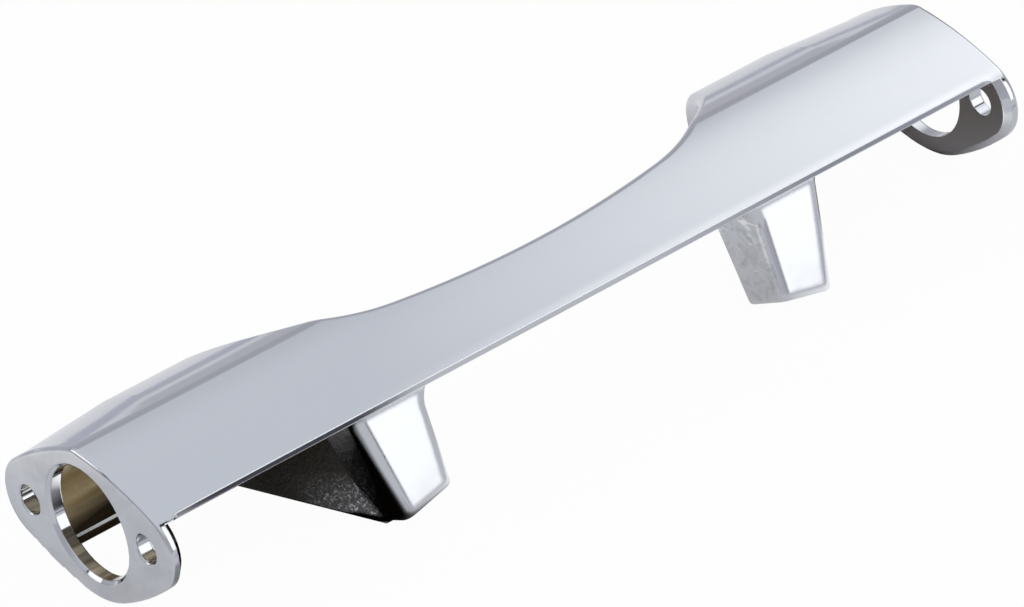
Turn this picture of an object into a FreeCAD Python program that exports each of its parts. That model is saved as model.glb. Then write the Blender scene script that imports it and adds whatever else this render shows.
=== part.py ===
import FreeCAD, Part
import math
import os
import Sketcher
from FreeCAD import Placement, Rotation, Vector

# Indicator lamp bracket: one die casting, a hollow bar with a lamp flange at each end and two legs.
# Modelled with X along the bar, Y to the back and Z square to the flange bolt line,
# then laid down on its legs and flange undersides. All lengths are in millimetres.

doc = FreeCAD.newDocument("indicator_lamp_bracket")
sheet = doc.addObject("Spreadsheet::Sheet", "Sizes")

SIZES = (
    ("bar_length", 280.0),
    ("flange_thickness", 4.2),
    ("flange_edge_round", 1.2),
    ("flange_inner_bevel", 1.8),
    ("wall", 2.4),
    ("ridge_height", 20.9),
    ("ridge_round", 8.0),
    ("keel_depth", 21.4),
    ("keel_round", 25.0),
    ("side_round", 90.0),
    ("ear_round", 11.65),
    ("ear_offset", 22.75),
    ("lobe_lift", 2.3),
    ("lobe_start_x", 110.0),
    ("bore_dia", 31.0),
    ("bore_bevel", 1.0),
    ("bolt_spacing", 48.0),
    ("bolt_hole_dia", 8.0),
    ("bolt_hole_bevel", 0.4),
    ("lip_depth", 30.5),
    ("lip_reach", 2.321),
    ("lip_drop", 1.447),
    ("lip_corner_round", 3.0),
    ("mouth_front_z", 7.3),
    ("mouth_back_y", 20.0),
    ("mouth_back_z", -15.0),
    ("waist_y", -8.4),
    ("waist_round", 280.0),
    ("shoulder_round", 48.0),
    ("shoulder_x", 79.88),
    ("shoulder_angle", 66.0),
    ("rim_round", 2.6),
    ("leg_inner_x", 54.4),
    ("leg_outer_x", 75.7),
    ("leg_front_y", -30.0),
    ("leg_back_y", -8.7),
    ("leg_outer_draft", 0.196),
    ("leg_front_lean", 0.2),
    ("leg_back_lean", 0.377),
    ("leg_edge_round", 3.2),
    ("leg_inner_flare", 7.5),
    ("leg_outer_flare", 4.5),
    ("leg_flare_depth", 4.0),
    ("foot_edge_round", 1.4),
    ("foot_z", -18.9),
    ("foot_y", -33.8),
    ("foot_fall_back", 0.31),
    ("foot_fall_out", 0.22),
    ("stud_hole_dia", 5.0),
    ("stud_hole_depth", 14.0),
    ("stud_x", 62.5),
    ("stud_y", -27.5),
    ("web_thickness", 4.0),
    ("rest_tilt", 8.22),
    ("rest_shift", 1.138),
    ("rest_lift", 21.432),
)
for row, (alias, number) in enumerate(SIZES, 1):
    sheet.set("A%d" % row, alias)
    sheet.set("B%d" % row, str(number))
    sheet.setAlias("B%d" % row, alias)
doc.recompute()


def size(alias):
    return float(sheet.get(alias))


PLANES = {
    "section": Rotation(Vector(1, 1, 1), 120),
    "plan": Rotation(),
    "front": Rotation(Vector(1, 0, 0), 90),
}


def new_sketch(name, plane):
    sketch = doc.addObject("Sketcher::SketchObject", name)
    sketch.Placement = Placement(Vector(), PLANES[plane])
    return sketch


def bind(sketch, kind, places, value, formula):
    index = sketch.addConstraint(Sketcher.Constraint(kind, *places, value))
    sketch.setExpression("Constraints[%d]" % index, formula)


def polygon(name, plane, corners):
    """Closed polygon whose corners are (x, formula, y, formula)."""
    sketch = new_sketch(name, plane)
    points = [Vector(x, y, 0) for x, fx, y, fy in corners]
    count = len(points)
    for i in range(count):
        sketch.addGeometry(Part.LineSegment(points[i], points[(i + 1) % count]), False)
    for i in range(count):
        sketch.addConstraint(Sketcher.Constraint("Coincident", i, 2, (i + 1) % count, 1))
    for i, (x, fx, y, fy) in enumerate(corners):
        bind(sketch, "DistanceX", (-1, 1, i, 1), x, fx)
        bind(sketch, "DistanceY", (-1, 1, i, 1), y, fy)
    return sketch


probe = doc.addObject("Part::Vertex", "formula_probe")


def corner(fx, fy):
    """One polygon corner from two formulas over the size sheet."""
    values = []
    for formula in (fx, fy):
        probe.setExpression("X", formula)
        probe.recompute()
        values.append(probe.X.Value)
    return (values[0], fx, values[1], fy)


def meet(c1, r1, c2, r2, side):
    """Crossing of two circles, on the given side of the line c1 to c2."""
    dx, dy = c2[0] - c1[0], c2[1] - c1[1]
    gap = math.hypot(dx, dy)
    along = (r1 * r1 - r2 * r2 + gap * gap) / (2 * gap)
    off = math.sqrt(r1 * r1 - along * along) * side
    return (c1[0] + (along * dx - off * dy) / gap, c1[1] + (along * dy + off * dx) / gap)


def arc(centre, radius, start, end):
    circle = Part.Circle(Vector(centre[0], centre[1], 0), Vector(0, 0, 1), radius)
    return Part.ArcOfCircle(circle, start, end)


def heading(a, b):
    return math.atan2(b[1] - a[1], b[0] - a[0])


def flange_outline(name, inset, lifted, at_x):
    """Eight tangent arcs round the flange: ridge, ears, keel and the long sides between."""
    cut = size("wall") if inset else 0.0
    less = " - Sizes.wall" if inset else ""
    side_r = size("side_round") - cut
    ridge_r = size("ridge_round") - cut
    keel_r = size("keel_round") - cut
    ear_r = size("ear_round") - cut
    ridge = (0.0, size("ridge_height") - size("ridge_round"))
    keel = (0.0, size("keel_round") - size("keel_depth"))
    lift = size("lobe_lift") if lifted else 0.0
    ear_b = (size("ear_offset"), lift)
    reach = size("lip_reach") if lifted and not inset else 0.0
    drop = size("lip_drop") if lifted and not inset else 0.0
    ear_f = (-size("ear_offset") - reach, -drop)
    top_b = meet(ridge, side_r - ridge_r, ear_b, side_r - ear_r, -1)
    low_b = meet(keel, side_r - keel_r, ear_b, side_r - ear_r, 1)
    top_f = meet(ridge, side_r - ridge_r, ear_f, side_r - ear_r, 1)
    low_f = meet(keel, side_r - keel_r, ear_f, side_r - ear_r, -1)
    ring = (
        (ear_b, ear_r, heading(low_b, ear_b), heading(top_b, ear_b)),
        (top_b, side_r, heading(top_b, ear_b), heading(top_b, ridge)),
        (ridge, ridge_r, heading(top_b, ridge), heading(top_f, ridge)),
        (top_f, side_r, heading(top_f, ridge), heading(top_f, ear_f)),
        (ear_f, ear_r, heading(top_f, ear_f), heading(low_f, ear_f)),
        (low_f, side_r, heading(low_f, ear_f), heading(low_f, keel)),
        (keel, keel_r, heading(low_f, keel), heading(low_b, keel)),
        (low_b, side_r, heading(low_b, keel), heading(low_b, ear_b)),
    )
    sketch = new_sketch(name, "section")
    if at_x:
        sketch.setExpression("Placement.Base.x", at_x)
    for centre, radius, start, end in ring:
        sketch.addGeometry(arc(centre, radius, start, end), False)
    for i in range(8):
        sketch.addConstraint(Sketcher.Constraint("Tangent", i, 2, (i + 1) % 8, 1))
    for i in (2, 6):
        sketch.addConstraint(Sketcher.Constraint("PointOnObject", i, 3, -2))
    if reach:
        bind(sketch, "DistanceY", (4, 3, -1, 1), drop, "Sizes.lip_drop")
    else:
        sketch.addConstraint(Sketcher.Constraint("PointOnObject", 4, 3, -1))
    if lifted:
        bind(sketch, "DistanceY", (-1, 1, 0, 3), lift, "Sizes.lobe_lift")
    else:
        sketch.addConstraint(Sketcher.Constraint("PointOnObject", 0, 3, -1))
    for i in (3, 5, 7):
        sketch.addConstraint(Sketcher.Constraint("Equal", 1, i))
    bind(sketch, "Radius", (1,), side_r, "Sizes.side_round" + less)
    bind(sketch, "Radius", (0,), ear_r, "Sizes.ear_round" + less)
    bind(sketch, "Radius", (4,), ear_r, "Sizes.ear_round" + less)
    bind(sketch, "Radius", (2,), ridge_r, "Sizes.ridge_round" + less)
    bind(sketch, "Radius", (6,), keel_r, "Sizes.keel_round" + less)
    bind(sketch, "DistanceY", (-1, 1, 2, 3), ridge[1], "Sizes.ridge_height - Sizes.ridge_round")
    bind(sketch, "DistanceY", (-1, 1, 6, 3), keel[1], "Sizes.keel_round - Sizes.keel_depth")
    bind(sketch, "DistanceX", (-1, 1, 0, 3), ear_b[0], "Sizes.ear_offset")
    more = " + Sizes.lip_reach" if reach else ""
    bind(sketch, "DistanceX", (4, 3, -1, 1), -ear_f[0], "Sizes.ear_offset" + more)
    return sketch


def back_plan(name, inset):
    """Plan of the bar: straight at the ends, drawn in to a waist by smooth curves at the back."""
    cut = size("wall") if inset else 0.0
    more = " + Sizes.wall" if inset else ""
    waist_r = size("waist_round") + cut
    shoulder_r = size("shoulder_round") + cut
    lean = math.radians(size("shoulder_angle"))
    waist_c = (0.0, size("waist_y") + size("waist_round"))
    end = (size("shoulder_x"), 0.0)
    drop = math.sin(lean) * size("shoulder_round")
    gap = size("waist_round") - size("shoulder_round")
    right_c = (end[0] - drop, waist_c[1] - math.sqrt(gap * gap - (end[0] - drop) ** 2))
    left_c = (-right_c[0], right_c[1])
    foot_r = (right_c[0] + math.sin(lean) * shoulder_r, right_c[1] - math.cos(lean) * shoulder_r)
    far_y = 45.0
    top_r = (foot_r[0] + (far_y - foot_r[1]) / math.tan(lean), far_y)
    near_y = -45.0
    far_x = size("bar_length") / 2 + 10
    sketch = new_sketch(name, "plan")

    def line(a, b):
        sketch.addGeometry(Part.LineSegment(Vector(a[0], a[1], 0), Vector(b[0], b[1], 0)), False)

    line((-far_x, near_y), (far_x, near_y))
    line((far_x, near_y), (far_x, far_y))
    line((far_x, far_y), top_r)
    line(top_r, foot_r)
    sketch.addGeometry(arc(right_c, shoulder_r, heading(waist_c, right_c), lean - math.pi / 2), False)
    sketch.addGeometry(arc(waist_c, waist_r, heading(waist_c, left_c), heading(waist_c, right_c)), False)
    sketch.addGeometry(arc(left_c, shoulder_r, -math.pi / 2 - lean, heading(waist_c, left_c)), False)
    line((-foot_r[0], foot_r[1]), (-top_r[0], far_y))
    line((-top_r[0], far_y), (-far_x, far_y))
    line((-far_x, far_y), (-far_x, near_y))
    for a, b in ((0, 1), (1, 2), (2, 3), (7, 8), (8, 9), (9, 0)):
        sketch.addConstraint(Sketcher.Constraint("Coincident", a, 2, b, 1))
    for a, pa, b, pb in ((3, 2, 4, 2), (4, 1, 5, 2), (5, 1, 6, 2), (6, 1, 7, 1)):
        sketch.addConstraint(Sketcher.Constraint("Tangent", a, pa, b, pb))
    for i in (2, 8):
        sketch.addConstraint(Sketcher.Constraint("Horizontal", i))
    for i in (1, 9):
        sketch.addConstraint(Sketcher.Constraint("Vertical", i))
    sketch.addConstraint(Sketcher.Constraint("PointOnObject", 5, 3, -2))
    sketch.addConstraint(Sketcher.Constraint("Symmetric", 0, 1, 0, 2, -2))
    sketch.addConstraint(Sketcher.Constraint("Symmetric", 2, 2, 8, 1, -2))
    sketch.addConstraint(Sketcher.Constraint("Equal", 4, 6))
    bind(sketch, "DistanceX", (-1, 1, 1, 1), far_x, "Sizes.bar_length / 2 + 10")
    bind(sketch, "DistanceY", (0, 2, -1, 1), -near_y, "45")
    bind(sketch, "DistanceY", (-1, 1, 1, 2), far_y, "45")
    bind(sketch, "Radius", (5,), waist_r, "Sizes.waist_round" + more)
    bind(sketch, "Radius", (4,), shoulder_r, "Sizes.shoulder_round" + more)
    bind(sketch, "DistanceY", (-1, 1, 5, 3), waist_c[1], "Sizes.waist_y + Sizes.waist_round")
    centre_x = "Sizes.shoulder_x - Sizes.shoulder_round * sin(Sizes.shoulder_angle * 1 deg)"
    bind(sketch, "DistanceX", (-1, 1, 4, 3), right_c[0], centre_x)
    bind(sketch, "DistanceX", (6, 3, -1, 1), right_c[0], centre_x)
    sketch.addConstraint(Sketcher.Constraint("Angle", -1, 1, 3, 2, lean))
    sketch.setExpression("Constraints[%d]" % (sketch.ConstraintCount - 1), "Sizes.shoulder_angle * 1 deg")
    return sketch


def prism(name, sketch, forward, formula, symmetric=False, direction=None):
    solid = doc.addObject("Part::Extrusion", name)
    solid.Base = sketch
    if direction is None:
        solid.DirMode = "Normal"
    else:
        solid.DirMode = "Custom"
        solid.Dir = direction
    solid.LengthFwd = forward
    solid.setExpression("LengthFwd", formula)
    solid.Symmetric = symmetric
    solid.Solid = True
    return solid


def both(kind, name, base, tool):
    result = doc.addObject("Part::" + kind, name)
    result.Base = base
    result.Tool = tool
    return result


def join(name, shapes, kind="MultiFuse"):
    result = doc.addObject("Part::" + kind, name)
    result.Shapes = shapes
    return result


def rounded(name, base, radius, wanted, kind="Fillet"):
    """Fillet or bevel the edges of base that the test picks."""
    doc.recompute()
    result = doc.addObject("Part::" + kind, name)
    result.Base = base
    picked = []
    for index, edge in enumerate(base.Shape.Edges, 1):
        if wanted(edge):
            picked.append((index, size(radius), size(radius)))
    if not picked:
        raise RuntimeError("no edge found for " + name)
    result.Edges = picked
    doc.recompute()
    return result


def mirrored(name, base):
    result = doc.addObject("Part::Mirroring", name)
    result.Source = base
    result.Base = Vector()
    result.Normal = Vector(1, 0, 0)
    return result


inner_end = "Sizes.bar_length / 2 - Sizes.flange_thickness"
collar_length = "Sizes.bar_length - 2 * Sizes.flange_edge_round"
collar_number = size("bar_length") - 2 * size("flange_edge_round")

# Lamp flanges: flat plates with a lamp bore, two bolt holes and softened outer edges.
end_outline = flange_outline("flange_profile", False, False, inner_end)
flange_block = prism("flange_block", end_outline, size("flange_thickness"), "Sizes.flange_thickness")
drills = []
for name, dia, offset in (
    ("bore", "bore_dia", "0"),
    ("back_bolt", "bolt_hole_dia", "Sizes.bolt_spacing / 2"),
    ("front_bolt", "bolt_hole_dia", "-Sizes.bolt_spacing / 2"),
):
    drill = doc.addObject("Part::Cylinder", name + "_drill")
    drill.Placement = Placement(Vector(), Rotation(Vector(0, 1, 0), 90))
    drill.setExpression("Radius", "Sizes.%s / 2" % dia)
    drill.setExpression("Height", "Sizes.flange_thickness + 2")
    drill.setExpression("Placement.Base.x", inner_end + " - 1")
    drill.setExpression("Placement.Base.y", offset)
    drills.append(drill)
drilled = both("Cut", "drilled_flange", flange_block, join("flange_drills", drills))
doc.recompute()


def on_outer_face(edge):
    return edge.BoundBox.XMin > size("bar_length") / 2 - 0.01


def is_bore(edge):
    box = edge.BoundBox
    return on_outer_face(edge) and abs(box.Center.y) < 0.1 and abs(box.YLength - size("bore_dia")) < 0.1


def is_bolt_hole(edge):
    return on_outer_face(edge) and abs(edge.BoundBox.YLength - size("bolt_hole_dia")) < 0.1 and len(
        edge.Vertexes) == 1


def is_outline(edge):
    return on_outer_face(edge) and not is_bore(edge) and not is_bolt_hole(edge)


def is_inner_outline(edge):
    box = edge.BoundBox
    on_inner_face = box.XMax < size("bar_length") / 2 - size("flange_thickness") + 0.01
    return on_inner_face and len(edge.Vertexes) == 2


flange_edge = rounded("flange_edge", drilled, "flange_edge_round", is_outline)
flange_bore = rounded("flange_bore", flange_edge, "bore_bevel", is_bore, "Chamfer")
flange_holes = rounded("flange_holes", flange_bore, "bolt_hole_bevel", is_bolt_hole, "Chamfer")
right_flange = rounded("right_flange", flange_holes, "flange_inner_bevel", is_inner_outline, "Chamfer")
left_flange = mirrored("left_flange", right_flange)

# Outer form of the bar: fuller at the back than the flanges, blending into them near the ends.
lobe_outline = flange_outline("lobe_profile", False, True, "Sizes.lobe_start_x")
middle_bar = prism("middle_bar", lobe_outline, -2 * size("lobe_start_x"), "-2 * Sizes.lobe_start_x")
right_blend = doc.addObject("Part::Loft", "right_blend")
right_blend.Sections = [lobe_outline, end_outline]
right_blend.Solid = True
right_blend.Ruled = True
left_blend = mirrored("left_blend", right_blend)
collar_depth = "Sizes.flange_thickness - Sizes.flange_edge_round"
collar_value = size("flange_thickness") - size("flange_edge_round")
right_collar = prism("right_collar", end_outline, collar_value, collar_depth)
left_collar = mirrored("left_collar", right_collar)
full_bar = join("full_bar", [middle_bar, right_blend, left_blend, right_collar, left_collar])
plan = back_plan("plan_profile", False)
plan_block = prism("plan_block", plan, 120, "120", True)
doc.recompute()
waisted = both("Common", "waisted_bar", full_bar, plan_block)


def is_rim(edge):
    box = edge.BoundBox
    return box.ZMax > 5 and box.YLength > 0.05 and box.XLength > 0.5 and max(box.XMax, -box.XMin) < 105


rimmed = rounded("rounded_rim", waisted, "rim_round", is_rim)

# Front lip: the bar stops short of the flange ears between the flanges.
lip_profile = polygon("lip_profile", "plan", [
    corner("-(%s)" % inner_end, "-60"),
    corner(inner_end, "-60"),
    corner(inner_end, "-Sizes.lip_depth"),
    corner("-(%s)" % inner_end, "-Sizes.lip_depth"),
])
lip_block = prism("lip_block", lip_profile, 120, "120", True)


def is_lip_corner(edge):
    return edge.BoundBox.ZLength > 100 and edge.BoundBox.YMin > -40


lip_tool = rounded("lip_tool", lip_block, "lip_corner_round", is_lip_corner)
lipped = both("Cut", "lipped_bar", rimmed, lip_tool)

# Hollow: the outlines and the plan drawn in by the wall, between the flanges.
inner_outline = flange_outline("inner_flange_profile", True, False, "")
inner_bar = prism("inner_bar", inner_outline, collar_number, collar_length, True)
inner_lobe = flange_outline("inner_lobe_profile", True, True, "")
inner_lobe_bar = prism("inner_lobe_bar", inner_lobe, collar_number, collar_length, True)
inner_plan = back_plan("inner_plan_profile", True)
inner_block = prism("inner_block", inner_plan, 120, "120", True)
hollow = join("hollow", [inner_bar, inner_lobe_bar, inner_block], "MultiCommon")

# Open underside: one slanted plane from the front lip down to the back lip.
fall = "(Sizes.mouth_back_z - Sizes.mouth_front_z) / (Sizes.mouth_back_y + Sizes.lip_depth)"
mouth = polygon("mouth_profile", "section", [
    corner("-60", "Sizes.mouth_front_z + (Sizes.lip_depth - 60) * " + fall),
    corner("-60", "-90"),
    corner("60", "-90"),
    corner("60", "Sizes.mouth_front_z + (Sizes.lip_depth + 60) * " + fall),
])
mouth_tool = prism("mouth_tool", mouth, collar_number, collar_length, True)
opened = both("Cut", "opened_bar", lipped, join("hollow_tool", [hollow, mouth_tool]))
doc.recompute()

# Legs: tapered posts under the front of the bar with a diagonal web behind, cut off at the foot plane.
leg_block = doc.addObject("Part::Wedge", "leg_block")
leg_block.Placement = Placement(Vector(), Rotation(Vector(1, 0, 0), 90))
for name, formula in (
    ("Ymin", "-36"),
    ("Ymax", "24"),
    ("Xmin", "Sizes.leg_inner_x"),
    ("X2min", "Sizes.leg_inner_x"),
    ("Xmax", "Sizes.leg_outer_x - 36 * Sizes.leg_outer_draft"),
    ("X2max", "Sizes.leg_outer_x + 24 * Sizes.leg_outer_draft"),
    ("Zmin", "-(Sizes.leg_back_y - 36 * Sizes.leg_back_lean)"),
    ("Z2min", "-(Sizes.leg_back_y + 24 * Sizes.leg_back_lean)"),
    ("Zmax", "-(Sizes.leg_front_y - 36 * Sizes.leg_front_lean)"),
    ("Z2max", "-(Sizes.leg_front_y + 24 * Sizes.leg_front_lean)"),
):
    leg_block.setExpression(name, formula)


# Flares: the front of each leg widens in two hollow curves up to the lip.
flare = new_sketch("flare_profile", "front")
lip_z = size("mouth_front_z") + 0.2
draft = size("leg_outer_draft")
slant = math.hypot(1, draft)
in_r = size("leg_inner_flare")
out_r = size("leg_outer_flare")
in_x = size("leg_inner_x")
in_c = (in_x - in_r, lip_z - in_r)
out_c = (size("leg_outer_x") + draft * (lip_z - out_r) + out_r * slant, lip_z - out_r)
out_touch = (out_c[0] - out_r / slant, out_c[1] + out_r * draft / slant)
top_z = lip_z + 1
low_z = lip_z - 10
low_x = size("leg_outer_x") + draft * low_z
ends = (
    (in_x, low_z), (in_x, in_c[1]), (in_c[0], lip_z), (in_c[0], top_z),
    (out_c[0], top_z), (out_c[0], lip_z), out_touch, (low_x, low_z),
)
for i in range(8):
    a, b = ends[i], ends[(i + 1) % 8]
    if i == 1:
        flare.addGeometry(arc(in_c, in_r, 0, math.pi / 2), False)
    elif i == 5:
        flare.addGeometry(arc(out_c, out_r, math.pi / 2, math.pi - math.atan(draft)), False)
    else:
        flare.addGeometry(Part.LineSegment(Vector(a[0], a[1], 0), Vector(b[0], b[1], 0)), False)
for a, b in ((2, 3), (3, 4), (7, 0)):
    flare.addConstraint(Sketcher.Constraint("Coincident", a, 2, b, 1))
flare.addConstraint(Sketcher.Constraint("Coincident", 6, 2, 7, 1))
flare.addConstraint(Sketcher.Constraint("Tangent", 0, 2, 1, 1))
flare.addConstraint(Sketcher.Constraint("Coincident", 1, 2, 2, 1))
flare.addConstraint(Sketcher.Constraint("Coincident", 4, 2, 5, 1))
flare.addConstraint(Sketcher.Constraint("Tangent", 5, 2, 6, 1))
for i in (0, 2, 4):
    flare.addConstraint(Sketcher.Constraint("Vertical", i))
for i in (3, 7):
    flare.addConstraint(Sketcher.Constraint("Horizontal", i))
flare.addConstraint(Sketcher.Constraint("Vertical", 1, 3, 1, 2))
flare.addConstraint(Sketcher.Constraint("Vertical", 5, 3, 5, 1))
bind(flare, "Radius", (1,), in_r, "Sizes.leg_inner_flare")
bind(flare, "Radius", (5,), out_r, "Sizes.leg_outer_flare")
bind(flare, "DistanceX", (-1, 1, 0, 1), in_x, "Sizes.leg_inner_x")
bind(flare, "DistanceY", (-1, 1, 1, 2), lip_z, "Sizes.mouth_front_z + 0.2")
bind(flare, "DistanceY", (-1, 1, 5, 1), lip_z, "Sizes.mouth_front_z + 0.2")
bind(flare, "DistanceY", (-1, 1, 2, 2), top_z, "Sizes.mouth_front_z + 1.2")
bind(flare, "DistanceY", (-1, 1, 0, 1), low_z, "Sizes.mouth_front_z - 9.8")
low_x_formula = "Sizes.leg_outer_x + Sizes.leg_outer_draft * (Sizes.mouth_front_z - 9.8)"
bind(flare, "DistanceX", (-1, 1, 7, 1), low_x, low_x_formula)
flare.addConstraint(Sketcher.Constraint("Angle", -2, 1, 6, 2, -math.atan(draft)))
flare.setExpression("Constraints[%d]" % (flare.ConstraintCount - 1), "-atan(Sizes.leg_outer_draft)")
flare_prism = prism("flare_prism", flare, 120, "120", True)
front_at = "Sizes.leg_front_y + %s * Sizes.leg_front_lean"
slab_profile = polygon("flare_slab_profile", "section", [
    corner(front_at % "-36", "-36"),
    corner(front_at % "24", "24"),
    corner((front_at % "24") + " + Sizes.leg_flare_depth", "24"),
    corner((front_at % "-36") + " + Sizes.leg_flare_depth", "-36"),
])
slab = prism("flare_slab", slab_profile, 130, "130")
flared_top = both("Common", "flared_top", flare_prism, slab)
leg_form = both("Fuse", "leg_form", leg_block, flared_top)
leg_form.Refine = True


def on_leg_front(point):
    return abs(point.y - size("leg_front_y") - size("leg_front_lean") * point.z) < 0.01


def is_upright(edge):
    ends = [vertex.Point for vertex in edge.Vertexes]
    if abs(ends[0].z - ends[-1].z) < 2:
        return False
    if all(on_leg_front(point) for point in ends):
        return min(point.z for point in ends) < size("mouth_front_z") - 1
    return edge.BoundBox.ZLength > 50


leg_post = rounded("leg_post", leg_form, "leg_edge_round", is_upright)
web_profile = polygon("web_profile", "plan", [
    corner("Sizes.leg_outer_x - 6", "-10.7"),
    corner("Sizes.leg_outer_x + 25.7", "26.8"),
    corner("Sizes.leg_outer_x + 25.7 - 0.764 * Sizes.web_thickness", "26.8 + 0.645 * Sizes.web_thickness"),
    corner("Sizes.leg_outer_x - 6 - 0.764 * Sizes.web_thickness", "-10.7 + 0.645 * Sizes.web_thickness"),
])
web_block = prism("web_block", web_profile, 120, "120", True, Vector(0.143, 0.65, 0.748))
stem = join("stem", [leg_post, web_block])
envelope = polygon("leg_envelope_profile", "section", [
    corner("-45", "Sizes.ridge_height - 17.7"),
    corner("-3", "Sizes.ridge_height - 1.5"),
    corner("20", "Sizes.ridge_height - 7.4"),
    corner("28", "Sizes.ridge_height - 12.4"),
    corner("28", "-60"),
    corner("-45", "-60"),
])
envelope_bar = prism("leg_envelope", envelope, 130, "130")
inside_stem = join("inside_stem", [stem, envelope_bar, plan_block], "MultiCommon")
foot_line = "Sizes.foot_z + Sizes.foot_fall_out * Sizes.leg_inner_x"
foot = polygon("foot_profile", "section", [
    corner("-80", foot_line + " + Sizes.foot_fall_back * (80 + Sizes.foot_y)"),
    corner("-80", "-120"),
    corner("60", "-120"),
    corner("60", foot_line + " - Sizes.foot_fall_back * (60 - Sizes.foot_y)"),
])
foot_tool = prism("foot_tool", foot, 150, "150", False, Vector(1, 0, -size("foot_fall_out")))
web_line = polygon("web_line_profile", "section", [
    corner("-26", "-60"),
    corner("-26", "-25.6"),
    corner("16", "-10.3"),
    corner("60", "-10.3"),
    corner("60", "-60"),
])
web_tool = prism("web_tool", web_line, 150, "150")

# Blind tapped hole square to each foot.
stud_z = size("foot_z") - size("foot_fall_out") * (size("stud_x") - size("leg_inner_x"))
stud_z -= size("foot_fall_back") * (size("stud_y") - size("foot_y"))
foot_normal = Vector(size("foot_fall_out"), size("foot_fall_back"), 1)
stud_drill = doc.addObject("Part::Cylinder", "stud_drill")
stud_drill.setExpression("Radius", "Sizes.stud_hole_dia / 2")
stud_drill.setExpression("Height", "Sizes.stud_hole_depth + 5")
foot_normal.normalize()
stud_base = Vector(size("stud_x"), size("stud_y"), stud_z) - foot_normal * 5
stud_drill.Placement = Placement(stud_base, Rotation(Vector(0, 0, 1), foot_normal))
leg_tools = join("leg_tools", [foot_tool, web_tool, stud_drill])
cut_leg = both("Cut", "cut_leg", inside_stem, leg_tools)


def is_foot_edge(edge):
    for vertex in edge.Vertexes:
        point = vertex.Point
        level = size("foot_z") - size("foot_fall_out") * (point.x - size("leg_inner_x"))
        level -= size("foot_fall_back") * (point.y - size("foot_y"))
        if abs(point.z - level) > 0.01:
            return False
    at = edge.CenterOfMass
    return at.y < -27 and len(edge.Vertexes) == 2 or at.x < size("leg_inner_x") + 1


right_leg = rounded("right_leg", cut_leg, "foot_edge_round", is_foot_edge)
left_leg = mirrored("left_leg", right_leg)
casting = join("casting", [opened, right_flange, left_flange, right_leg, left_leg])
doc.recompute()

# The finished casting, laid down on its feet and flange undersides.
body = doc.addObject("PartDesign::Body", "lamp_bracket")
body.Label = "lamp_bracket"
body.BaseFeature = casting
body.Placement = Placement(Vector(), Rotation(Vector(1, 0, 0), -size("rest_tilt")))
body.setExpression("Placement.Base.y", "Sizes.rest_shift")
body.setExpression("Placement.Base.z", "Sizes.rest_lift")
doc.removeObject(probe.Name)
doc.recompute()

for item in doc.Objects:
    if "Invalid" in item.State or "Error" in item.State:
        raise RuntimeError("failed: " + item.Name)
    if hasattr(item, "Shape") and item.TypeId != "Sketcher::SketchObject":
        if item.TypeId.startswith("App::"):
            continue
        if item.Shape.isNull() or not item.Shape.isValid():
            raise RuntimeError("no valid shape: " + item.Name)
shape = body.Shape
if len(shape.Solids) != 1:
    raise RuntimeError("the bracket is in %d pieces" % len(shape.Solids))
print("volume %.0f" % shape.Volume, shape.BoundBox)
os.makedirs("parts", exist_ok=True)
shape.exportStep("parts/lamp_bracket.step")
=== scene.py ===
import math
from types import SimpleNamespace

import bpy
from bpy.props import FloatProperty, FloatVectorProperty, PointerProperty, StringProperty
from mathutils import Matrix, Vector


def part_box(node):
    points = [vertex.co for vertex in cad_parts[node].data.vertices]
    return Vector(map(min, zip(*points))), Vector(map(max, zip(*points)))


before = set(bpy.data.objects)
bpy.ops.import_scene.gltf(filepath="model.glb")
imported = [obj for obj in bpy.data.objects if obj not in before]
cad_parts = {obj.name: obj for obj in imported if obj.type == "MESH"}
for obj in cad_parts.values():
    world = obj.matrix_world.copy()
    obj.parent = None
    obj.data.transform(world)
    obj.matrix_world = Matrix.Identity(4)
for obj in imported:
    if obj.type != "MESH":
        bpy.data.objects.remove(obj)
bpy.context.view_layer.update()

bl_info = {
    "name": "Indicator lamp bracket",
    "version": (1, 0, 0),
    "blender": (4, 5, 0),
    "location": "3D View > Sidebar > Bracket",
    "description": "Plates the cast lamp bracket and sets up its studio",
    "category": "Object",
}

CASTING = "lamp_bracket"
HALF_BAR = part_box(CASTING)[1].x
MM = 0.001
WHITE = "#FFFFFF"

# Node kinds that the material uses most, and the sockets of a Mix node.
MATH, RANGE = "ShaderNodeMath", "ShaderNodeMapRange"
MIX, NOISE, BUMP = "ShaderNodeMix", "ShaderNodeTexNoise", "ShaderNodeBump"
FACTOR = 0
LOW, HIGH = 2, 3
UNDER, OVER, BLENDED = 6, 7, 2

# Places on the casting. A pair says where a change starts and where it is complete.
# Along the bar, from its middle towards either end:
# Painted glint flecks on the webs: where they start and where they are full.
GLINT_FLECKS_ALONG = (83 * MM, 75 * MM)
LEGS_END = 90 * MM
WEB_END = 103 * MM
FLANGE_INNER_SIDE = HALF_BAR - 4.3 * MM
LAMP_FACE = HALF_BAR - 0.3 * MM
# Along the bar, from left to right:
# Where the painted highlight along the lip fades in.
LIP_HIGHLIGHT_ALONG = (-80 * MM, 0.0)
# Across the bar, from the lip at the front to the back:
# Band of the painted highlight along the lip.
LIP_HIGHLIGHT_ACROSS = (-25 * MM, -28 * MM)
LEG_FRONTS = (-18 * MM, -22 * MM)
BEHIND_LEGS = (-12 * MM, -6 * MM)
FOOT_BACK = -6 * MM
LEG_SIDES = (-2 * MM, -6 * MM)
REARMOST = (10 * MM, 14 * MM)
INNER_LEDGE = (17 * MM, 18.2 * MM)
# Painted highlight along the trough's step: its middle and half width.
STEP_HIGHLIGHT, STEP_HIGHLIGHT_HALF = 17.7 * MM, 0.4 * MM
# Above the table:
# Painted glint flecks on the webs: where they start and where they are full, going down.
GLINT_FLECKS_UP = (11 * MM, 3 * MM)
FOOT_TOP = 16 * MM
TROUGH_TOP = 16 * MM
UNDER_LIP = (33 * MM, 32 * MM)
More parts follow.
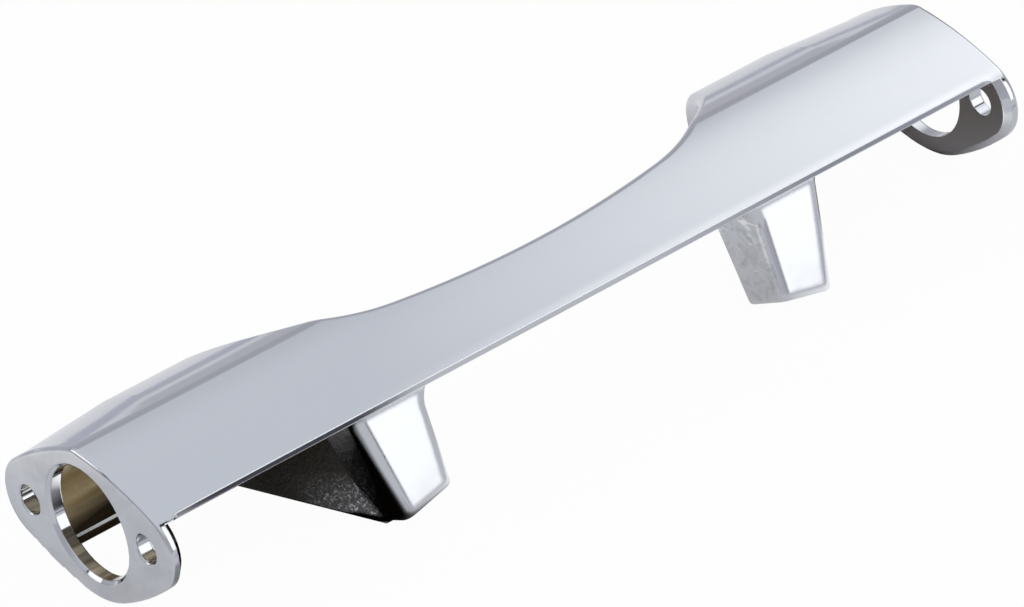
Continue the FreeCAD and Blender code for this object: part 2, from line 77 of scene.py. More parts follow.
# Slanted: across the bar, less a share of the height or of the way in from the end.
LEG_LEAN, PAST_LEG = -0.435, (-32.5 * MM, -31 * MM)
# Painted shade deep in the trough: its slant, and where it starts and where it is full.
DEEP_SHADE_SLANT, DEEP_SHADE = -0.15, (23.5 * MM, 18 * MM)

# Which way a surface faces: limits on one part of its normal.
LOOKS_UP = (0.3, 0.6)
LOOKS_SKYWARD = (0.7, 0.85)
LOOKS_DOWN = (-0.1, -0.45)
LOOKS_FORWARD = (-0.2, -0.5)
LOOKS_BACK = (0.1, 0.25)
LOOKS_INWARD = (-0.6, -0.85)
RUNS_LENGTHWISE = (0.55, 0.3)
SLANTS_OUTWARD = (0.45, 0.6)
SLANTS_FORWARD = (-0.3, -0.45)

# Rub marks and cast grain are drawn twice as coarse as they are: too fine to show otherwise.
# The flecks of painted glints are a little finer than the grain, and scuffs a third as wide
# as the cloudy marks.
COARSER = 2
FLECKS_PER_GRAIN = 1.2
SCUFFS_PER_MARK = 3

# How far the marks stretch: rub marks and streaks along the bar, scuffs down the legs at a slant.
STRETCH_ALONG = (0.12, 1.0, 1.0)
STRETCH_DOWN, SCUFF_SLANT = (1.0, 0.2, 1.0), (math.radians(35), 0.0, 0.0)

# How much of the plain white background the table shows to the camera and to the plate.
CAMERA_WHITE = 0.97
MIRRORED_WHITE = 0.52

# The room, by the upward part of the direction: walls turn to ceiling, and to skirting lower down.
CEILING_FROM = (0.46, 0.75)
SKIRTING_FROM = (0.4, 0.05)

# Soft edges of a soft box, as shares of its half width: the cloth's in its frame, and the frame's.
CLOTH_BLUR = 0.1
FRAME_BLUR = 0.05


def linear(hex_colour):
    """Linear RGBA of an sRGB hex colour."""
    digits = hex_colour.lstrip("#")
    channels = [int(digits[i:i + 2], 16) / 255 for i in (0, 2, 4)]
    return [c / 12.92 if c <= 0.04045 else ((c + 0.055) / 1.055) ** 2.4 for c in channels] + [1.0]


def add(tree, kind, inputs=(), **settings):
    """Adds a node. Settings are its properties, inputs its values and links, by order or by key."""
    node = tree.nodes.new(kind)
    for name, value in settings.items():
        setattr(node, name, value)
    for key, value in inputs.items() if isinstance(inputs, dict) else enumerate(inputs):
        if isinstance(value, bpy.types.Node):
            value = value.outputs[0]
        if isinstance(value, bpy.types.NodeSocket):
            tree.links.new(value, node.inputs[key])
        else:
            node.inputs[key].default_value = value
    return node


def blank_material(name):
    """New material with an empty node tree."""
    material = bpy.data.materials.new(name)
    material.use_nodes = True
    material.node_tree.nodes.clear()
    return material


class PlateSettings(bpy.types.PropertyGroup):
    """Colours and textures of the plated casting"""

    plate_colour: StringProperty(
        name="Plate", description="Colour of the bright chrome, sRGB hex", default="#C4C6CA")
    recess_colour: StringProperty(
        name="Recess", description="Colour of the thin plate inside the casting, sRGB hex",
        default="#FAEFD6")
    streak_colour: StringProperty(
        name="Streaks", description="Colour of the drag streaks inside the casting, sRGB hex",
        default="#C2B18C")
    cloud_colour: StringProperty(
        name="Clouding", description="Colour of the chrome where handling has clouded it, sRGB hex",
        default="#86868C")
    # Also the colour of the painted highlights along the lip and the trough's step, and of the
    # painted glints on the webs.
    scuff_and_highlight_colour: StringProperty(
        name="Glints", description="Colour of bright scuffs and cast flecks, sRGB hex",
        default="#F2F4F4")
    # The webs' own rough finish, darkened further as painted shade.
    web_finish_and_shade_colour: StringProperty(
        name="Web", description="Colour of the rough webs behind the legs, sRGB hex",
        default="#383632")
    # Painted shade deep in the trough, darker further in from the end and nearer the front.
    deep_shade_colour: StringProperty(
        name="Stain", description="Colour of the coat where it fails deep inside, sRGB hex",
        default="#241A12")
    polish_roughness: FloatProperty(
        name="Polish", description="Roughness of the buffed outside",
        default=0.07, min=0.0, max=1.0, subtype="FACTOR")
    face_roughness: FloatProperty(
        name="Lamp face", description="Roughness of the flat lamp faces",
        default=0.2, min=0.0, max=1.0, subtype="FACTOR")
    coat_roughness: FloatProperty(
        name="Coat", description="Roughness of the thin coat inside the casting",
        default=0.42, min=0.0, max=1.0, subtype="FACTOR")
    web_roughness: FloatProperty(
        name="Web roughness", description="Roughness of the webs behind the legs",
        default=0.24, min=0.0, max=1.0, subtype="FACTOR")
    coat_metal: FloatProperty(
        name="Coat metal", description="How metallic the thin coat inside the casting is",
        default=0.85, min=0.0, max=1.0, subtype="FACTOR")
    ripple_size: FloatProperty(
        name="Ripple", description="Width of the shallow ripples left by buffing",
        default=9 * MM, unit="LENGTH")
    smear_size: FloatProperty(
        name="Smears", description="Width of the smears left by wiping",
        default=14 * MM, unit="LENGTH")
    scratch_spacing: FloatProperty(
        name="Scratches", description="Spacing of the fine rub marks",
        default=0.5 * MM, unit="LENGTH")
    streak_spacing: FloatProperty(
        name="Streak spacing", description="Spacing of the drag streaks inside the casting",
        default=4 * MM, unit="LENGTH")
    grain_size: FloatProperty(
        name="Cast grain", description="Grain of the unpolished casting",
        default=0.9 * MM, unit="LENGTH")
    mark_size: FloatProperty(
        name="Marks", description="Width of the cloudy marks left by handling",
        default=5 * MM, unit="LENGTH")
    ripple_height: FloatProperty(
        name="Ripple height", description="Height of the ripples left by buffing",
        default=0.06 * MM, unit="LENGTH")
    scratch_height: FloatProperty(
        name="Scratch height", description="Height of the fine rub marks",
        default=0.006 * MM, unit="LENGTH")
    grain_height: FloatProperty(
        name="Grain height", description="Height of the unpolished casting's grain",
        default=0.25 * MM, unit="LENGTH")
    step_height: FloatProperty(
        name="Step height", description="Height of the step along the turned-up back, inside",
        default=2.6 * MM, unit="LENGTH")
    edge_break: FloatProperty(
        name="Edge break", description="Radius to which buffing wears a sharp edge",
        default=0.5 * MM, unit="LENGTH")
    leg_root: FloatProperty(
        name="Leg root", description="Radius of the edges round a leg's front",
        default=2.6 * MM, unit="LENGTH")


class StageSettings(bpy.types.PropertyGroup):
    """Room and camera of the studio"""

    floor_size: FloatProperty(
        name="Floor", description="Side of the square floor", default=8.0, unit="LENGTH")
    floor_colour: StringProperty(
        name="Floor colour", description="Colour of the floor, sRGB hex", default="#E4E4EA")
    ceiling_colour: StringProperty(
        name="Ceiling", description="Colour of the room overhead, sRGB hex", default="#F4F8FF")
    wall_colour: StringProperty(
        name="Walls", description="Colour of the room's walls, sRGB hex", default="#C6C6CE")
    skirt_colour: StringProperty(
        name="Skirting", description="Colour of the room at the height of the table, sRGB hex",
        default="#CECED6")
    view_azimuth: FloatProperty(
        name="Azimuth", description="Heading of the view, from the back towards the right",
        default=math.radians(37.115), subtype="ANGLE")
    view_elevation: FloatProperty(
        name="Elevation", description="How far the view looks down",
        default=math.radians(31.972), subtype="ANGLE")
    view_roll: FloatProperty(
        name="Roll", description="Turn of the camera about its own axis",
        default=math.radians(-6.204), subtype="ANGLE")
    view_distance: FloatProperty(
        name="Distance", description="From the camera to the point that it looks at",
        default=2.0898, unit="LENGTH")
    view_target: FloatVectorProperty(
        name="Target", description="Point that the camera looks at",
        default=(-0.0032, 0.0020, 0.01938), subtype="TRANSLATION", unit="LENGTH")
    view_sensor: FloatProperty(
        name="Sensor", description="Width of the camera's sensor, in millimetres",
        default=36.0, unit="CAMERA")
    view_lens: FloatProperty(
        name="Lens", description="Focal length of the camera, in millimetres",
        default=291.9, unit="CAMERA")


def measure(tree):
    """Where a point of the casting lies, and which way it faces."""
    place = add(tree, "ShaderNodeTexCoord").outputs["Object"]
    normal = add(tree, "ShaderNodeNewGeometry").outputs["Normal"]
    x, y, z = add(tree, "ShaderNodeSeparateXYZ", (place,)).outputs
    right, back, up = add(tree, "ShaderNodeSeparateXYZ", (normal,)).outputs
    side = add(tree, MATH, (x,), operation="ABSOLUTE")
    outward = add(tree, MATH, (right,), operation="ABSOLUTE")
    return SimpleNamespace(
        place=place, x=x, y=y, z=z, right=right, back=back, up=up, side=side, outward=outward)


def find_regions(tree, at):
    """Masks from 0 to 1 for the regions of the casting that look different."""
    # The lamp faces are the flat ends of the bar.
    at_end = add(tree, MATH, (at.side, LAMP_FACE), operation="GREATER_THAN")
    lamp_face = add(tree, MATH, (at_end, at.outward), operation="MULTIPLY")

    # The inside looks down, or forwards from behind the legs.
    down = add(tree, RANGE, (at.up, *LOOKS_DOWN))
    forward = add(tree, RANGE, (at.back, *LOOKS_FORWARD))
    behind = add(tree, RANGE, (at.y, *BEHIND_LEGS))
    back_wall = add(tree, MATH, (forward, behind), operation="MULTIPLY")
    hidden = add(tree, MATH, (down, back_wall), operation="MAXIMUM")
    inboard = add(tree, MATH, (at.side, FLANGE_INNER_SIDE), operation="LESS_THAN")
    lengthwise = add(tree, RANGE, (at.outward, *RUNS_LENGTHWISE))
    sheltered = add(tree, MATH, (hidden, inboard), operation="MULTIPLY")
    covered = add(tree, MATH, (sheltered, lengthwise), operation="MULTIPLY")

    # The turned-under outside of the back also looks down, but backwards: it stays bright.
    backward = add(tree, RANGE, (at.back, *LOOKS_BACK))
    rearmost = add(tree, RANGE, (at.y, *REARMOST))
    tail = add(tree, MATH, (backward, rearmost), operation="MULTIPLY")
    enclosed = add(tree, MATH, (covered, tail), operation="SUBTRACT", use_clamp=True)

    # So do the feet, which face down in the open.
    near_table = add(tree, MATH, (at.z, FOOT_TOP), operation="LESS_THAN")
    in_open = add(tree, MATH, (at.y, FOOT_BACK), operation="LESS_THAN")
    foot = add(tree, MATH, (near_table, in_open), operation="MULTIPLY")
    inside = add(tree, MATH, (enclosed, foot), operation="SUBTRACT", use_clamp=True)

    # The trough is the bar's turned-up back, seen from inside.
    upturned = add(tree, RANGE, (at.up, *LOOKS_UP))
    low_down = add(tree, MATH, (at.z, TROUGH_TOP), operation="LESS_THAN")
    tray = add(tree, MATH, (upturned, low_down), operation="MULTIPLY")
    tray_back = add(tree, MATH, (tray, rearmost), operation="MULTIPLY")
    trough = add(tree, MATH, (tray_back, inboard), operation="MULTIPLY")

    # The webs slant behind the legs and face forwards and outwards.
    slanted = add(tree, RANGE, (at.outward, *SLANTS_OUTWARD))
    turned = add(tree, RANGE, (at.back, *SLANTS_FORWARD))
    lean = add(tree, MATH, (at.z, LEG_LEAN, at.y), operation="MULTIPLY_ADD")
    past_leg = add(tree, RANGE, (lean, *PAST_LEG))
    in_bar = add(tree, MATH, (at.side, WEB_END), operation="LESS_THAN")
    web_side = add(tree, MATH, (slanted, turned), operation="MULTIPLY")
    web_place = add(tree, MATH, (past_leg, in_bar), operation="MULTIPLY")
    web = add(tree, MATH, (web_side, web_place), operation="MULTIPLY")

    # The legs stand under the lip, and their inner sides face each other.
    under_lip = add(tree, RANGE, (at.z, *UNDER_LIP))
    off_flange = add(tree, MATH, (at.side, LEGS_END), operation="LESS_THAN")
    leg = add(tree, MATH, (under_lip, off_flange), operation="MULTIPLY")
    in_front = add(tree, RANGE, (at.y, *LEG_FRONTS))
    leg_front = add(tree, MATH, (leg, in_front), operation="MULTIPLY")
    hand = add(tree, MATH, (at.x,), operation="SIGN")
    turn_in = add(tree, MATH, (at.right, hand), operation="MULTIPLY")
    inward = add(tree, RANGE, (turn_in, *LOOKS_INWARD))
    front_half = add(tree, RANGE, (at.y, *LEG_SIDES))
    leg_side = add(tree, MATH, (leg, front_half), operation="MULTIPLY")
    leg_inner = add(tree, MATH, (leg_side, inward), operation="MULTIPLY")

    return SimpleNamespace(lamp_face=lamp_face, inside=inside, trough=trough, web=web,
                           leg_front=leg_front, leg_inner=leg_inner)


def lay_patterns(tree, at, settings):
    """Marks of buffing, wiping, handling and casting, and flecks for painted glints, at their real
    sizes.
    """
    along_bar = add(tree, "ShaderNodeMapping", {"Vector": at.place, "Scale": STRETCH_ALONG})
    down_leg = add(tree, "ShaderNodeMapping", {
        "Vector": at.place, "Rotation": SCUFF_SLANT, "Scale": STRETCH_DOWN})
    ripple = add(tree, NOISE, {
        "Vector": at.place, "Scale": 1 / settings.ripple_size, "Detail": 1.0, "Roughness": 0.4})
    rub = add(tree, NOISE, {
        "Vector": along_bar, "Scale": 1 / settings.scratch_spacing / COARSER,
        "Detail": 3.0, "Roughness": 0.7})
    smear = add(tree, NOISE, {
        "Vector": at.place, "Scale": 1 / settings.smear_size,
        "Detail": 4.0, "Roughness": 0.6, "Distortion": 0.6})
    grain = add(tree, NOISE, {
        "Vector": at.place, "Scale": 1 / settings.grain_size / COARSER,
        "Detail": 3.0, "Roughness": 0.65})
    fleck = add(tree, NOISE, {
        "Vector": at.place, "Scale": FLECKS_PER_GRAIN / settings.grain_size,
        "Detail": 3.0, "Roughness": 0.6, "Distortion": 0.8})
    cloud = add(tree, NOISE, {
        "Vector": at.place, "Scale": 1 / settings.mark_size,
        "Detail": 5.0, "Roughness": 0.65, "Distortion": 1.2})
    scuff = add(tree, NOISE, {
        "Vector": down_leg, "Scale": SCUFFS_PER_MARK / settings.mark_size,
        "Detail": 2.0, "Distortion": 1.5})
    streak = add(tree, NOISE, {
        "Vector": along_bar, "Scale": 1 / settings.streak_spacing,
        "Detail": 3.0, "Roughness": 0.55})
    return SimpleNamespace(ripple=ripple, rub=rub, smear=smear, grain=grain, fleck=fleck,
                           cloud=cloud, scuff=scuff, streak=streak)


def plate_roughness(tree, region, pattern, settings):
    """Mirror outside, satin lamp faces, dull inside."""
    polish, satin = settings.polish_roughness, settings.face_roughness
    mirror = add(tree, RANGE, (pattern.smear, 0.35, 0.75, 0.7 * polish, 1.5 * polish))
    rubbed = add(tree, RANGE, (pattern.rub, 0.3, 0.7, 0.8 * satin, 1.3 * satin))
    outer = add(tree, MIX, {FACTOR: region.lamp_face, LOW: mirror, HIGH: rubbed})
    coated = add(tree, MIX, {FACTOR: region.inside, LOW: outer, HIGH: settings.coat_roughness})
    return add(tree, MIX, {FACTOR: region.web, LOW: coated, HIGH: settings.web_roughness})


def outer_colour(tree, at, region, pattern, settings):
    """Bright plate with the marks of its use, and a painted highlight along the lip."""
    scuff_and_highlight = linear(settings.scuff_and_highlight_colour)

    # Handling has clouded the lamp faces, and clouded and scuffed the legs' inner sides.
    face_dull = add(tree, RANGE, (pattern.smear, 0.4, 0.7, 0.0, 0.3))
    face_cloud = add(tree, MATH, (face_dull, region.lamp_face), operation="MULTIPLY")
    leg_dull = add(tree, RANGE, (pattern.cloud, 0.45, 0.7, 0.0, 0.45))
    clouded = add(tree, MATH, (leg_dull, region.leg_inner, face_cloud), operation="MULTIPLY_ADD")
    scratch = add(tree, RANGE, (pattern.scuff, 0.64, 0.74, 0.0, 0.7))
    scuffed = add(tree, MATH, (scratch, region.leg_inner), operation="MULTIPLY")
    plate = add(tree, MIX, {
        FACTOR: clouded, UNDER: linear(settings.plate_colour),
        OVER: linear(settings.cloud_colour)}, data_type="RGBA")
    marked = add(tree, MIX, {
        FACTOR: scuffed, UNDER: plate.outputs[BLENDED], OVER: scuff_and_highlight}, data_type="RGBA")

    # Painted highlight: the plate colour is lightened to a bright band along the lip, from the
    # middle to the right.
    by_lip = add(tree, RANGE, (at.y, *LIP_HIGHLIGHT_ACROSS, 0.0, 0.36),
                 interpolation_type="SMOOTHSTEP")
    rightward = add(tree, RANGE, (at.x, *LIP_HIGHLIGHT_ALONG))
    skyward = add(tree, RANGE, (at.up, *LOOKS_SKYWARD))
    lip_highlight_band = add(tree, MATH, (by_lip, rightward), operation="MULTIPLY")
    lip_highlight = add(tree, MATH, (lip_highlight_band, skyward), operation="MULTIPLY")
    lip_highlighted = add(tree, MIX, {
        FACTOR: lip_highlight, UNDER: marked.outputs[BLENDED], OVER: scuff_and_highlight}, data_type="RGBA")
    return lip_highlighted.outputs[BLENDED]


def plate_colour(tree, at, region, pattern, settings):
    """Bright plate outside, thin warm coat inside with painted shade deep in the trough and a
    painted highlight along its step, and webs near black from their rough finish and painted shade,
    with painted glints.
    """
    scuff_and_highlight = linear(settings.scuff_and_highlight_colour)
    outside = outer_colour(tree, at, region, pattern, settings)

    # Drag streaks run along the bar in the thin coat inside.
    streaked = add(tree, RANGE, (pattern.streak, 0.35, 0.65))
    coat = add(tree, MIX, {
        FACTOR: streaked, UNDER: linear(settings.streak_colour),
        OVER: linear(settings.recess_colour)}, data_type="RGBA")
    tint = add(tree, MIX, {
        FACTOR: region.inside, UNDER: outside, OVER: coat.outputs[BLENDED]}, data_type="RGBA")

    # Painted shade deep in the trough: the coat goes from pale by the bore to near black.
    depth = add(tree, MATH, (HALF_BAR, at.side), operation="SUBTRACT")
    reach = add(tree, MATH, (depth, DEEP_SHADE_SLANT, at.y), operation="MULTIPLY_ADD")
    deep_shade_share = add(tree, RANGE, (reach, *DEEP_SHADE, 0.0, 0.94))
    deep = add(tree, MATH, (deep_shade_share, region.trough), operation="MULTIPLY")
    gloom = add(tree, MIX, {
        FACTOR: deep, UNDER: tint.outputs[BLENDED],
        OVER: linear(settings.deep_shade_colour)}, data_type="RGBA")

    # Painted highlight: a bright line along the trough's step.
    step_highlight_band = add(tree, MATH, (at.y, STEP_HIGHLIGHT, STEP_HIGHLIGHT_HALF), operation="COMPARE")
    step_highlight = add(tree, MATH, (step_highlight_band, region.trough), operation="MULTIPLY")
    step_highlighted = add(tree, MIX, {
        FACTOR: step_highlight, UNDER: gloom.outputs[BLENDED], OVER: scuff_and_highlight}, data_type="RGBA")

    # Painted glints: bright flecks on the webs, low down by the leg. The webs' own colour is
    # their rough finish, darkened as painted shade.
    low = add(tree, RANGE, (at.z, *GLINT_FLECKS_UP, 0.0, 0.8))
    by_leg = add(tree, RANGE, (at.side, *GLINT_FLECKS_ALONG))
    glint_fleck_zone = add(tree, MATH, (low, by_leg), operation="MULTIPLY")
    bright = add(tree, RANGE, (pattern.fleck, 0.5, 0.7, 0.1, 1.0))
    painted_glint_flecks = add(tree, MATH, (glint_fleck_zone, bright), operation="MULTIPLY")
    web_finish_and_painted_light = add(tree, MIX, {
        FACTOR: painted_glint_flecks, UNDER: linear(settings.web_finish_and_shade_colour), OVER: scuff_and_highlight}, data_type="RGBA")
    shade = add(tree, MIX, {
        FACTOR: region.web, UNDER: step_highlighted.outputs[BLENDED],
        OVER: web_finish_and_painted_light.outputs[BLENDED]}, data_type="RGBA")
    return shade.outputs[BLENDED]


def plate_relief(tree, at, region, pattern, settings):
    """Worn edges, the trough's step, ripples, rub marks, and cast grain inside and on the webs."""
    worn = add(tree, RANGE, (region.leg_front, 0.0, 1.0, settings.edge_break, settings.leg_root))
    edges = add(tree, "ShaderNodeBevel", {"Radius": worn}, samples=12)
    ledge = add(tree, RANGE, (at.y, *INNER_LEDGE))
    step = add(tree, MATH, (ledge, region.trough), operation="MULTIPLY")
    stepped = add(tree, BUMP, {
        "Height": step, "Strength": 1.0, "Distance": settings.step_height, "Normal": edges})
    rippled = add(tree, BUMP, {
        "Height": pattern.ripple, "Strength": 0.35, "Distance": settings.ripple_height,
        "Normal": stepped})
    rubbed = add(tree, BUMP, {
        "Height": pattern.rub, "Strength": 0.25, "Distance": settings.scratch_height,
        "Normal": rippled})
    unbuffed = add(tree, MATH, (region.inside, region.web), operation="MAXIMUM")
    bare_grain = add(tree, MATH, (pattern.grain, unbuffed), operation="MULTIPLY")
    return add(tree, BUMP, {
        "Height": bare_grain, "Strength": 0.6, "Distance": settings.grain_height,
        "Normal": rubbed})


def chrome_plate(settings):
    """Chrome plate on a buffed zinc casting.

    The outside mirrors the room, in soft ripples because buffing never leaves it quite flat.
    The flat lamp faces are duller, with rub marks. Inside, where little plate gets to, the
    casting's own grain shows through a thin warm coat, darkened deep in the trough by painted
    shade, with a painted highlight along its step. The webs are near black, from their rough finish
    and painted shade, with painted glints. A painted highlight runs along the lip."""
    material = blank_material("chrome_plate_on_buffed_zinc")
    tree = material.node_tree
    at = measure(tree)
    region = find_regions(tree, at)
    pattern = lay_patterns(tree, at, settings)
    metal = add(tree, RANGE, (region.inside, 0.0, 1.0, 1.0, settings.coat_metal))
    shader = add(tree, "ShaderNodeBsdfPrincipled", {
        "Base Color": plate_colour(tree, at, region, pattern, settings),
        "Metallic": metal,
        "Roughness": plate_roughness(tree, region, pattern, settings),
        "Normal": plate_relief(tree, at, region, pattern, settings)})
    add(tree, "ShaderNodeOutputMaterial", {"Surface": shader})
    return material


def studio_floor(settings):
    """White laminate table, matt: a bright even ground that keeps a soft shadow."""
    material = blank_material("matt_white_table")
    tree = material.node_tree
    path = add(tree, "ShaderNodeLightPath").outputs
    mirrored = add(tree, MATH, (
        path["Is Glossy Ray"], path["Is Transmission Ray"]), operation="MAXIMUM")
    dimmed = add(tree, MATH, (mirrored, MIRRORED_WHITE), operation="MULTIPLY")
    lift = add(tree, MATH, (path["Is Camera Ray"], CAMERA_WHITE, dimmed), operation="MULTIPLY_ADD")
    paint = add(tree, "ShaderNodeBsdfDiffuse", {"Color": linear(settings.floor_colour)})
    white = add(tree, "ShaderNodeEmission", {"Color": linear(WHITE), "Strength": 1.0})
    mixed = add(tree, "ShaderNodeMixShader", (lift, paint, white))
    add(tree, "ShaderNodeOutputMaterial", {"Surface": mixed})
    return material


def middle_share(tree):
    """How near a point of a panel is to its middle: 1 there, 0 on the circle in its edges."""
    spot = add(tree, "ShaderNodeTexCoord").outputs["Object"]
    return add(tree, "ShaderNodeTexGradient", (spot,), gradient_type="SPHERICAL").outputs[1]


def cover_panel(tree, share, front):
    """Shows the front by its share, and nothing beyond it."""
    clear = add(tree, "ShaderNodeBsdfTransparent")
    mixed = add(tree, "ShaderNodeMixShader", (share, clear, front))
    add(tree, "ShaderNodeOutputMaterial", {"Surface": mixed})


def soft_panel(name, colour, strength, full):
    """Glowing cloth or card: bright in the middle, fading out from full to its edge."""
    material = blank_material(name)
    tree = material.node_tree
    level = add(tree, RANGE, (middle_share(tree), 0.0, full))
    glow = add(tree, "ShaderNodeEmission", {"Color": linear(colour), "Strength": strength})
    cover_panel(tree, level, glow)
    return material


def framed_panel(name, colour, strength, rim):
    """Soft box: bright cloth in a black frame, which draws a thin dark line round a highlight."""
    material = blank_material(name)
    tree = material.node_tree
    share = middle_share(tree)
    level = add(tree, RANGE, (share, rim, rim + CLOTH_BLUR, 0.0, strength))
    box = add(tree, RANGE, (share, 0.0, FRAME_BLUR))
    glow = add(tree, "ShaderNodeEmission", {"Color": linear(colour), "Strength": level})
    cover_panel(tree, box, glow)
    return material


def dark_cloth(name, colour, full):
    """Flock that soaks up light: the plate that mirrors it shows dark, with a soft outer edge."""
    material = blank_material(name)
    tree = material.node_tree
    level = add(tree, RANGE, (middle_share(tree), 0.0, full), interpolation_type="SMOOTHSTEP")
    flock = add(tree, "ShaderNodeBsdfDiffuse", {"Color": linear(colour)})
    cover_panel(tree, level, flock)
    return material


# The studio's panels: name, centre, the point that it faces, size, kind and what it is made of.
# One that faces no point lies on the table, at a height of its own so that none coincide.
PANELS = (
    # Overhead on the right: the bar's slope gets brighter towards that end.
    ("right_lamp", (0.66, 0.06, 0.5), (0.65, 0.06, 0.0), (0.9, 0.9),
     soft_panel, ("right_lamp_cloth", WHITE, 2.0, 1.0)),
    # In front: fills the fronts of the legs.
    ("front_lamp", (0.411, -0.737, 0.4), (0.0, -0.03, 0.02), (0.9, 1.5),
     framed_panel, ("front_lamp_cloth", WHITE, 1.8, 0.2)),
    # Behind on the left: lights the rounded edges of the left end.
    ("rear_lamp", (-0.6, 0.62, 0.52), (-0.14, 0.0, 0.03), (0.6, 0.6),
     framed_panel, ("rear_lamp_cloth", WHITE, 1.8, 0.15)),
    # Painted shade: a black sheet under the left web and the side of its leg, seen only in
    # reflections, stands in for the shade under the bar, so these show near black.
    ("left_shadow_sheet", (-0.088, -0.02, 0.0004), None, (0.115, 0.13),
     dark_cloth, ("black_shadow_sheet", "#120E0A", 0.7)),
    # Under the rim of the left flange, which it greys.
    ("rim_flock", (-0.126, -0.045, 0.0005), None, (0.04, 0.05),
     dark_cloth, ("rim_flock", "#C0C0BC", 0.5)),
    # Behind the left end: gives the wall of its bore a dark accent.
    ("bore_flock", (-0.13, 0.044, 0.0005), None, (0.03, 0.03),
     dark_cloth, ("bore_flock", "#0A0A0A", 0.3)),
    # In front of the lip, on the left and more faintly on the right: draw a line under the slope.
    ("lip_flock", (-0.05, -0.115, 0.0004), None, (0.1, 0.05),
     dark_cloth, ("lip_flock", "#5C5C62", 0.5)),
    ("right_lip_flock", (0.15, -0.11, 0.0004), None, (0.18, 0.06),
     dark_cloth, ("right_lip_flock", "#C4C4CA", 0.9)),
    # Behind on the right: darkens the edge of the right end.
    ("side_flag", (0.78, 0.5, 0.08), (0.13, 0.0, 0.03), (0.3, 0.36),
     dark_cloth, ("black_flag", "#1A1814", 0.3)),
    # At the feet: lighten the rims of the legs' fronts.
    ("left_leg_card", (-0.04, -0.036, 0.0003), None, (0.07, 0.06),
     soft_panel, ("leg_card_paper", WHITE, 1.4, 0.5)),
    ("right_leg_card", (0.092, -0.036, 0.0006), None, (0.07, 0.06),
     soft_panel, ("leg_card_paper", WHITE, 1.4, 0.5)),
    # Painted shade: a grey sheet under the right end, seen only in reflections, stands in for the
    # shade under it, and greys the inner side of its flange.
    ("right_shadow_sheet", (0.11, 0.02, 0.0004), None, (0.12, 0.12),
     dark_cloth, ("grey_shadow_sheet", "#C8C4C4", 0.35)),
    # Beyond the left end: fills its lamp face.
    ("end_card", (-0.21, 0.09, 0.0004), None, (0.14, 0.14),
     soft_panel, ("end_card_paper", WHITE, 1.15, 0.6)),
    # Under the left end: lights the inside that the bore shows.
    ("bore_card", (-0.11, 0.012, 0.0006), None, (0.036, 0.036),
     soft_panel, ("bore_card_paper", WHITE, 2.2, 0.5)),
    # Behind the bar: shades its back.
    ("back_flock", (0.06, 0.4, 0.0004), None, (1.0, 0.44),
     dark_cloth, ("back_flock", "#DCDCE2", 0.35)),
)


def flat_square(name, half, material):
    """Stage object: a flat square on its own origin."""
    mesh = bpy.data.meshes.new(name)
    corners = [(-half, -half, 0), (half, -half, 0), (half, half, 0), (-half, half, 0)]
    mesh.from_pydata(corners, [], [(0, 1, 2, 3)])
    mesh.materials.append(material)
    square = bpy.data.objects.new(name, mesh)
    bpy.context.scene.collection.objects.link(square)
    return square


class BRACKET_OT_plate(bpy.types.Operator):
    """Gives the casting its chrome plate"""

    bl_idname = "bracket.plate"
    bl_label = "Plate the casting"

    def execute(self, context):
        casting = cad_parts[CASTING]
        material = chrome_plate(context.scene.bracket_plate)
        casting.data.materials.clear()
        casting.data.materials.append(material)
        return {"FINISHED"}


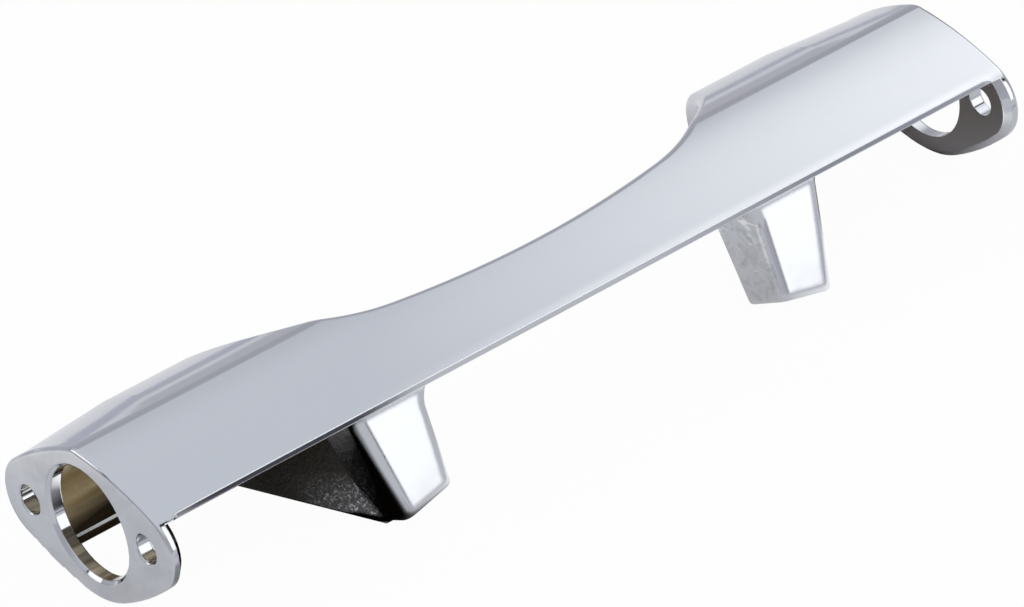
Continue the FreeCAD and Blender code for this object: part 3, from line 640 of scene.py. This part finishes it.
class BRACKET_OT_stage(bpy.types.Operator):
    """Sets up the floor, the room's light, the lamp panels and the camera"""

    bl_idname = "bracket.stage"
    bl_label = "Set up the studio"

    def execute(self, context):
        scene = context.scene
        settings = scene.bracket_stage
        scene.view_settings.view_transform = "Standard"
        flat_square("floor", settings.floor_size / 2, studio_floor(settings))
        self.light_room(scene, settings)
        self.hang_panels()
        self.aim_camera(scene, settings)
        return {"FINISHED"}

    def light_room(self, scene, settings):
        """Pale room, darker at the walls than overhead. The camera itself sees plain white."""
        world = bpy.data.worlds.new("studio_room")
        world.use_nodes = True
        scene.world = world
        tree = world.node_tree
        tree.nodes.clear()
        way = add(tree, "ShaderNodeTexCoord").outputs["Generated"]
        height = add(tree, "ShaderNodeSeparateXYZ", (way,)).outputs["Z"]
        rise = add(tree, RANGE, (height, *CEILING_FROM), interpolation_type="SMOOTHSTEP")
        sink = add(tree, RANGE, (height, *SKIRTING_FROM), interpolation_type="SMOOTHSTEP")
        walls = add(tree, MIX, {
            FACTOR: sink, UNDER: linear(settings.wall_colour),
            OVER: linear(settings.skirt_colour)}, data_type="RGBA")
        room = add(tree, MIX, {
            FACTOR: rise, UNDER: walls.outputs[BLENDED],
            OVER: linear(settings.ceiling_colour)}, data_type="RGBA")
        path = add(tree, "ShaderNodeLightPath").outputs
        lit = add(tree, "ShaderNodeBackground", {"Color": room.outputs[BLENDED], "Strength": 1.0})
        white = add(tree, "ShaderNodeBackground", {"Color": linear(WHITE), "Strength": 1.0})
        mixed = add(tree, "ShaderNodeMixShader", (path["Is Camera Ray"], lit, white))
        add(tree, "ShaderNodeOutputWorld", {"Surface": mixed})

    def hang_panels(self):
        """Panels that are seen only in reflections."""
        for name, centre, target, (width, height), kind, look in PANELS:
            panel = flat_square(name, 1, kind(*look))
            centre = Vector(centre)
            way = Vector(target) - centre if target else Vector((0, 0, 1))
            panel.matrix_world = Matrix.LocRotScale(
                centre, way.to_track_quat("Z", "Y"), Vector((width / 2, height / 2, 1.0)))
            panel.visible_camera = False
            panel.visible_shadow = False
            panel.visible_diffuse = False

    def aim_camera(self, scene, settings):
        """Camera at the photo's viewing angle."""
        rise = settings.view_elevation
        heading = settings.view_azimuth
        forward = Vector((
            math.cos(rise) * math.sin(heading), math.cos(rise) * math.cos(heading),
            -math.sin(rise)))
        level = forward.cross(Vector((0, 0, 1))).normalized()
        upright = level.cross(forward)
        right = math.cos(settings.view_roll) * level + math.sin(settings.view_roll) * upright
        up = right.cross(forward)
        camera_data = bpy.data.cameras.new("photo_camera")
        camera_data.sensor_width = settings.view_sensor
        camera_data.sensor_fit = "HORIZONTAL"
        camera_data.lens = settings.view_lens
        camera = bpy.data.objects.new("photo_camera", camera_data)
        scene.collection.objects.link(camera)
        turn = Matrix((right, up, -forward)).transposed()
        place = Vector(settings.view_target) - forward * settings.view_distance
        camera.matrix_world = Matrix.Translation(place) @ turn.to_4x4()
        scene.camera = camera


class BRACKET_PT_panel(bpy.types.Panel):
    """Lists the bracket's settings and its steps"""

    bl_idname = "BRACKET_PT_panel"
    bl_label = "Lamp bracket"
    bl_space_type = "VIEW_3D"
    bl_region_type = "UI"
    bl_category = "Bracket"

    def draw(self, context):
        layout = self.layout
        for group in (context.scene.bracket_plate, context.scene.bracket_stage):
            for name in group.bl_rna.properties.keys():
                if name not in {"rna_type", "name"}:
                    layout.prop(group, name)
        for step in STEPS:
            layout.operator(step.bl_idname)


STEPS = (BRACKET_OT_plate, BRACKET_OT_stage)
CLASSES = (PlateSettings, StageSettings, *STEPS, BRACKET_PT_panel)


def register():
    for cls in CLASSES:
        bpy.utils.register_class(cls)
    bpy.types.Scene.bracket_plate = PointerProperty(type=PlateSettings)
    bpy.types.Scene.bracket_stage = PointerProperty(type=StageSettings)


def unregister():
    del bpy.types.Scene.bracket_stage
    del bpy.types.Scene.bracket_plate
    for cls in reversed(CLASSES):
        bpy.utils.unregister_class(cls)


def main():
    register()
    bpy.ops.bracket.plate()
    bpy.ops.bracket.stage()


if __name__ == "__main__":
    main()
